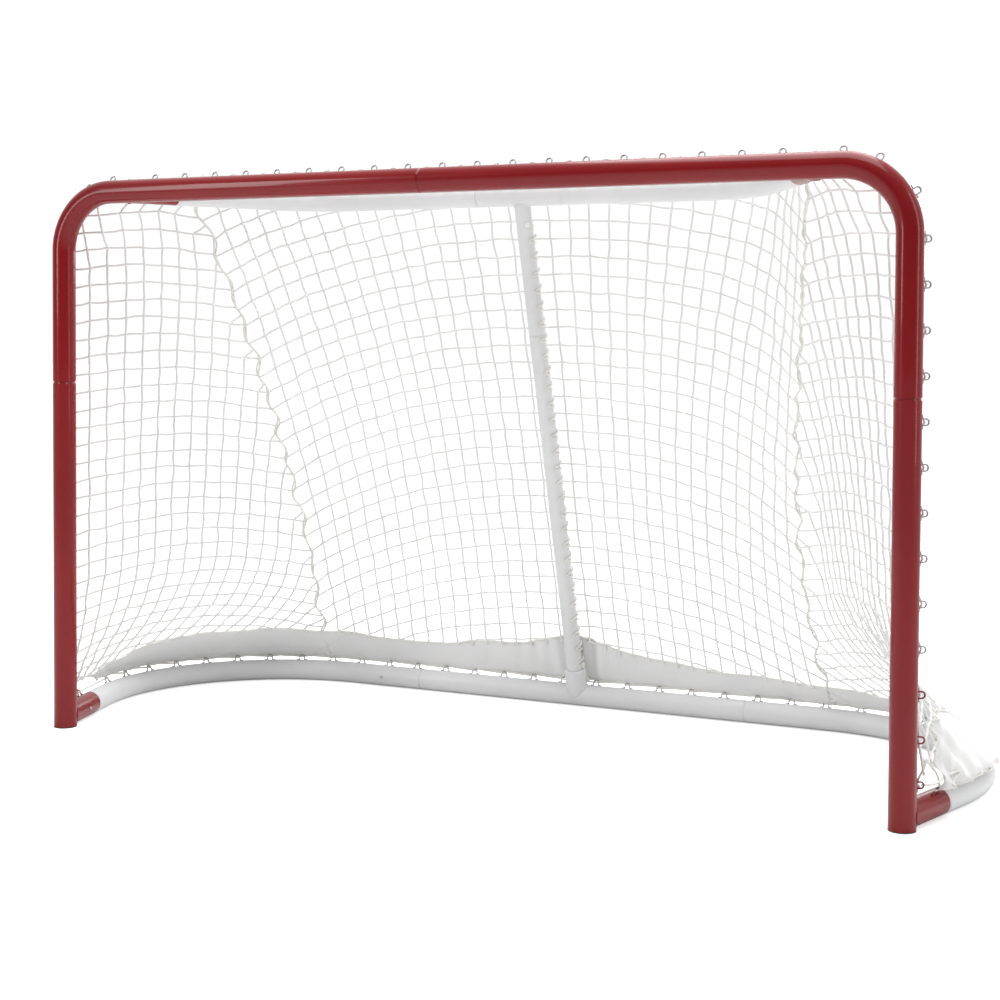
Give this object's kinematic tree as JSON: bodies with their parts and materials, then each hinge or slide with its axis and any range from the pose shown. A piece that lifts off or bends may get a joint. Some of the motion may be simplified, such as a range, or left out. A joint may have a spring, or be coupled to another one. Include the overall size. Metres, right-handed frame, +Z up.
{
  "type": "hockey goal",
  "caption": "Full-size hockey goal with a red steel tube front, white base and top bar, sloping back brace and laced netting with a fabric skirt.",
  "frame": {"origin": "on the floor under the middle of the goal's bounding box", "axes": "+Z up, +X to the right along the goal line seen by a shooter, +Y from the goal line to the back of the net"},
  "size_m": [2.0978, 0.7882, 1.2306],
  "materials": {
    "red_tube": "gloss red powder coat",
    "white_tube": "satin white powder coat",
    "hook_wire": "bright zinc-plated wire",
    "red_hook": "wire powder coated with the post",
    "button_steel": "zinc-plated",
    "spring_steel": "oiled spring steel",
    "foot_plug": "moulded plastic",
    "netting": "white knotted nylon twine",
    "skirt_fabric": "white woven nylon",
    "lacing_cord": "white braided nylon cord",
    "seam_cord": "cream braided nylon cord"
  },
  "bodies": {
    "frame": {"base_centre": "white_tube", "base_lacing": "lacing_cord", "base_left": "white_tube", "base_right": "white_tube", "brace": "white_tube", "brace_lacing": "lacing_cord", "button_springs": "spring_steel", "crossbar_lacing": "lacing_cord", "foot_plug_left": "foot_plug", "foot_plug_right": "foot_plug", "hooks_base_centre": "hook_wire", "hooks_base_left": "hook_wire", "hooks_base_right": "hook_wire", "hooks_post_left": "red_hook", "hooks_post_right": "red_hook", "hooks_upper_left": "hook_wire", "hooks_upper_right": "hook_wire", "lower_post_left": "red_tube", "lower_post_right": "red_tube", "net_back": "netting", "net_side_left": "netting", "net_side_right": "netting", "net_top": "netting", "post_lacing_left": "lacing_cord", "post_lacing_right": "lacing_cord", "seam_cord_left": "seam_cord", "seam_cord_right": "seam_cord", "skirt_back": "skirt_fabric", "skirt_side_left": "skirt_fabric", "skirt_side_right": "skirt_fabric", "top_bar_centre": "white_tube", "top_bar_left": "white_tube", "top_bar_right": "white_tube", "upper_corner_left": "red_tube", "upper_corner_right": "red_tube"},
    "button_crossbar": {"button_crossbar": "button_steel"},
    "button_base_right": {"button_base_right": "button_steel"},
    "button_base_left": {"button_base_left": "button_steel"},
    "button_brace": {"button_brace": "button_steel"},
    "button_post_right": {"button_post_right": "button_steel"},
    "button_post_left": {"button_post_left": "button_steel"},
    "button_base_stub_right": {"button_base_stub_right": "button_steel"},
    "button_base_stub_left": {"button_base_stub_left": "button_steel"},
    "button_top_stub_right": {"button_top_stub_right": "button_steel"},
    "button_top_stub_left": {"button_top_stub_left": "button_steel"},
    "button_top_bar_right": {"button_top_bar_right": "button_steel"},
    "button_top_bar_left": {"button_top_bar_left": "button_steel"}
  },
  "joints": [
    {"name": "press_crossbar", "type": "slide", "parent": "frame", "child": "button_crossbar", "axis": [0, -1, 0], "range_m": [0, 0.005], "stiffness_N_per_m": 1500, "springref_m": -0.002, "deforming": ["button_springs"]},
    {"name": "press_base_right", "type": "slide", "parent": "frame", "child": "button_base_right", "axis": [0, -1, 0], "range_m": [0, 0.005], "stiffness_N_per_m": 1500, "springref_m": -0.002, "deforming": ["button_springs"]},
    {"name": "press_base_left", "type": "slide", "parent": "frame", "child": "button_base_left", "axis": [0, 1, 0], "range_m": [0, 0.005], "stiffness_N_per_m": 1500, "springref_m": -0.002, "deforming": ["button_springs"]},
    {"name": "press_brace", "type": "slide", "parent": "frame", "child": "button_brace", "axis": [0, -0.9602, -0.2794], "range_m": [0, 0.005], "stiffness_N_per_m": 1500, "springref_m": -0.002, "deforming": ["button_springs"]},
    {"name": "press_post_right", "type": "slide", "parent": "frame", "child": "button_post_right", "axis": [0, -1, 0], "range_m": [0, 0.005], "stiffness_N_per_m": 1500, "springref_m": -0.002, "deforming": ["button_springs"]},
    {"name": "press_post_left", "type": "slide", "parent": "frame", "child": "button_post_left", "axis": [0, -1, 0], "range_m": [0, 0.005], "stiffness_N_per_m": 1500, "springref_m": -0.002, "deforming": ["button_springs"]},
    {"name": "press_base_stub_right", "type": "slide", "parent": "frame", "child": "button_base_stub_right", "axis": [0.9636, -0.2674, 0], "range_m": [0, 0.005], "stiffness_N_per_m": 1500, "springref_m": -0.002, "deforming": ["button_springs"]},
    {"name": "press_base_stub_left", "type": "slide", "parent": "frame", "child": "button_base_stub_left", "axis": [-0.9636, -0.2674, 0], "range_m": [0, 0.005], "stiffness_N_per_m": 1500, "springref_m": -0.002, "deforming": ["button_springs"]},
    {"name": "press_top_stub_right", "type": "slide", "parent": "frame", "child": "button_top_stub_right", "axis": [-0.8575, -0.5145, 0], "range_m": [0, 0.005], "stiffness_N_per_m": 1500, "springref_m": -0.002, "deforming": ["button_springs"]},
    {"name": "press_top_stub_left", "type": "slide", "parent": "frame", "child": "button_top_stub_left", "axis": [0.8575, -0.5145, 0], "range_m": [0, 0.005], "stiffness_N_per_m": 1500, "springref_m": -0.002, "deforming": ["button_springs"]},
    {"name": "press_top_bar_right", "type": "slide", "parent": "frame", "child": "button_top_bar_right", "axis": [0, -1, 0], "range_m": [0, 0.005], "stiffness_N_per_m": 1500, "springref_m": -0.002, "deforming": ["button_springs"]},
    {"name": "press_top_bar_left", "type": "slide", "parent": "frame", "child": "button_top_bar_left", "axis": [0, -1, 0], "range_m": [0, 0.005], "stiffness_N_per_m": 1500, "springref_m": -0.002, "deforming": ["button_springs"]}
  ]
}
